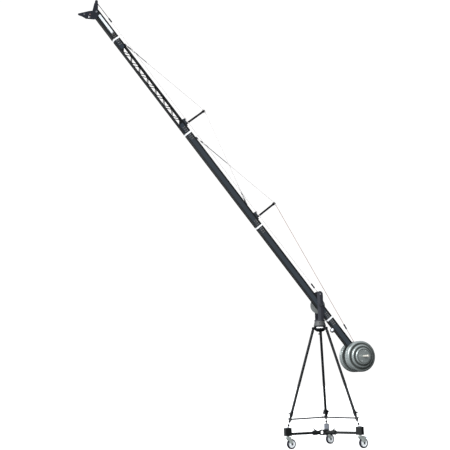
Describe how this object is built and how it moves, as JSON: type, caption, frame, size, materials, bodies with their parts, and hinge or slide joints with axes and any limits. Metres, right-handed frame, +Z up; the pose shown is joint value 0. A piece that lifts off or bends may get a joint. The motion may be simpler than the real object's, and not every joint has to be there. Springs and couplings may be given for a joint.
{
  "type": "camera jib crane",
  "caption": "Sectional camera jib crane with a lattice arm section, stay wires, a levelling head and plate weights, on a tripod that stands on a castor dolly.",
  "frame": {"origin": "on the floor, in the middle of the whole crane's footprint; the pan axis is at x 1.227 m, y -0.015 m", "axes": "+Z up, -X towards the arm's tip, +Y to the far side of the arm"},
  "size_m": [3.8754, 0.9948, 5.7376],
  "materials": {
    "dolly_paint": "dark satin paint",
    "knob_plastic": "moulded, fine grain",
    "zinc_plate": "dull zinc plate",
    "wheel_rubber": "grey rubber tread",
    "brake_plastic": "pale blue moulding",
    "tripod_black": "black anodised",
    "rod_grey": "grey anodised",
    "cast_grey": "bare casting, bead blasted",
    "yoke_paint": "black satin paint",
    "bright_steel": "bright",
    "bare_disc": "turned",
    "arm_grey": "dark grey satin paint",
    "splice_aluminium": "bare, brushed",
    "weight_iron": "grey hammered paint",
    "chrome_ball": "polished",
    "head_aluminium": "black anodised"
  },
  "bodies": {
    "base": {"dolly_hub": "dolly_paint", "dolly_arm_left": "dolly_paint", "dolly_arm_right": "dolly_paint", "dolly_arm_rear": "dolly_paint", "tripod_crown": "tripod_black", "leg_upper_left": "tripod_black", "leg_upper_right": "tripod_black", "leg_upper_rear": "tripod_black", "leg_lower_left": "tripod_black", "leg_lower_right": "tripod_black", "leg_lower_rear": "tripod_black", "spreader_hub": "tripod_black", "spreader_arm_left": "rod_grey", "spreader_arm_right": "rod_grey", "spreader_arm_rear": "rod_grey", "pan_base": "cast_grey"},
    "turntable": {"yoke": "yoke_paint", "tilt_axle": "bright_steel", "levelling_pin": "bright_steel"},
    "arm": {"arm_section_rear": "arm_grey", "arm_section_pivot": "arm_grey", "arm_section_middle": "arm_grey", "arm_section_lattice": "arm_grey", "arm_section_tip": "arm_grey", "joint_splice_rear": "splice_aluminium", "joint_splice_middle": "splice_aluminium", "joint_splice_front": "splice_aluminium", "joint_splice_tip": "splice_aluminium", "king_post_front": "arm_grey", "king_post_rear": "arm_grey", "stay_front_fore": "bright_steel", "stay_front_aft": "bright_steel", "stay_rear_fore": "bright_steel", "stay_rear_aft": "bright_steel", "weight_bar": "bright_steel", "weight_big_inner_near": "weight_iron", "weight_big_outer_near": "weight_iron", "weight_medium_near": "weight_iron", "weight_small_near": "weight_iron", "weight_big_inner_far": "weight_iron", "weight_big_outer_far": "weight_iron", "weight_medium_far": "weight_iron", "weight_small_far": "weight_iron", "arm_ball_knob": "chrome_ball", "tilt_brake_disc": "bare_disc", "head_hinge_pin": "bright_steel"},
    "levelling_link": {"levelling_wire": "bright_steel"},
    "head": {"head_bracket": "head_aluminium", "head_mounting_plate": "head_aluminium"},
    "tilt_knob": {"tilt_lock_knob": "knob_plastic"},
    "tie_down": {"tie_down_knob": "knob_plastic"},
    "knob_left": {"clamp_knob_left": "knob_plastic"},
    "knob_right": {"clamp_knob_right": "knob_plastic"},
    "fork_left": {"castor_fork_left": "zinc_plate"},
    "fork_right": {"castor_fork_right": "zinc_plate"},
    "fork_rear": {"castor_fork_rear": "zinc_plate"},
    "wheel_left": {"castor_wheel_left": "wheel_rubber"},
    "wheel_right": {"castor_wheel_right": "wheel_rubber"},
    "wheel_rear": {"castor_wheel_rear": "wheel_rubber"},
    "brake_right": {"castor_brake_right": "brake_plastic"}
  },
  "joints": [
    {"name": "pan", "type": "hinge", "parent": "base", "child": "turntable", "pos_m": [1.22672, -0.01503, 1.601], "axis": [0, 0, 1], "continuous": true},
    {"name": "tilt", "type": "hinge", "parent": "turntable", "child": "arm", "pos_m": [1.22672, -0.01503, 1.807], "axis": [0, 1, 0], "range_deg": [-70, 2]},
    {"name": "link_tilt", "type": "hinge", "parent": "turntable", "child": "levelling_link", "pos_m": [1.22672, -0.04203, 1.951], "axis": [0, 1, 0], "range_deg": [-70, 2]},
    {"name": "head_level", "type": "hinge", "parent": "arm", "child": "head", "pos_m": [-1.7007, -0.01503, 5.57558], "axis": [0, 1, 0], "range_deg": [-2, 70]},
    {"name": "tilt_knob_turn", "type": "hinge", "parent": "turntable", "child": "tilt_knob", "pos_m": [1.22672, 0.056, 1.807], "axis": [0, 1, 0], "continuous": true},
    {"name": "tie_down_turn", "type": "hinge", "parent": "base", "child": "tie_down", "pos_m": [1.22672, -0.01503, 1.45], "axis": [0, 0, 1], "continuous": true},
    {"name": "knob_left_turn", "type": "hinge", "parent": "base", "child": "knob_left", "pos_m": [1.09095, -0.02286, 0.21], "axis": [0, 0, 1], "continuous": true},
    {"name": "knob_right_turn", "type": "hinge", "parent": "base", "child": "knob_right", "pos_m": [1.30139, -0.1287, 0.21], "axis": [0, 0, 1], "continuous": true},
    {"name": "swivel_left", "type": "hinge", "parent": "base", "child": "fork_left", "pos_m": [0.70958, -0.04485, 0.163], "axis": [0, 0, 1], "continuous": true},
    {"name": "swivel_right", "type": "hinge", "parent": "base", "child": "fork_right", "pos_m": [1.51111, -0.44798, 0.163], "axis": [0, 0, 1], "continuous": true},
    {"name": "swivel_rear", "type": "hinge", "parent": "base", "child": "fork_rear", "pos_m": [1.45947, 0.44774, 0.163], "axis": [0, 0, 1], "continuous": true},
    {"name": "roll_left", "type": "hinge", "parent": "fork_left", "child": "wheel_left", "pos_m": [0.75396, -0.03742, 0.0625], "axis": [-0.165, 0.9863, 0], "continuous": true},
    {"name": "roll_right", "type": "hinge", "parent": "fork_right", "child": "wheel_right", "pos_m": [1.5555, -0.44055, 0.0625], "axis": [-0.165, 0.9863, 0], "continuous": true},
    {"name": "roll_rear", "type": "hinge", "parent": "fork_rear", "child": "wheel_rear", "pos_m": [1.50385, 0.45516, 0.0625], "axis": [-0.165, 0.9863, 0], "continuous": true},
    {"name": "brake_pedal", "type": "hinge", "parent": "fork_right", "child": "brake_right", "pos_m": [1.57522, -0.43725, 0.131], "axis": [-0.165, 0.9863, 0], "range_deg": [0, 8]}
  ],
  "couplings": [
    {"joint": "link_tilt", "follows": "tilt", "ratio": 1},
    {"joint": "head_level", "follows": "tilt", "ratio": -1}
  ]
}
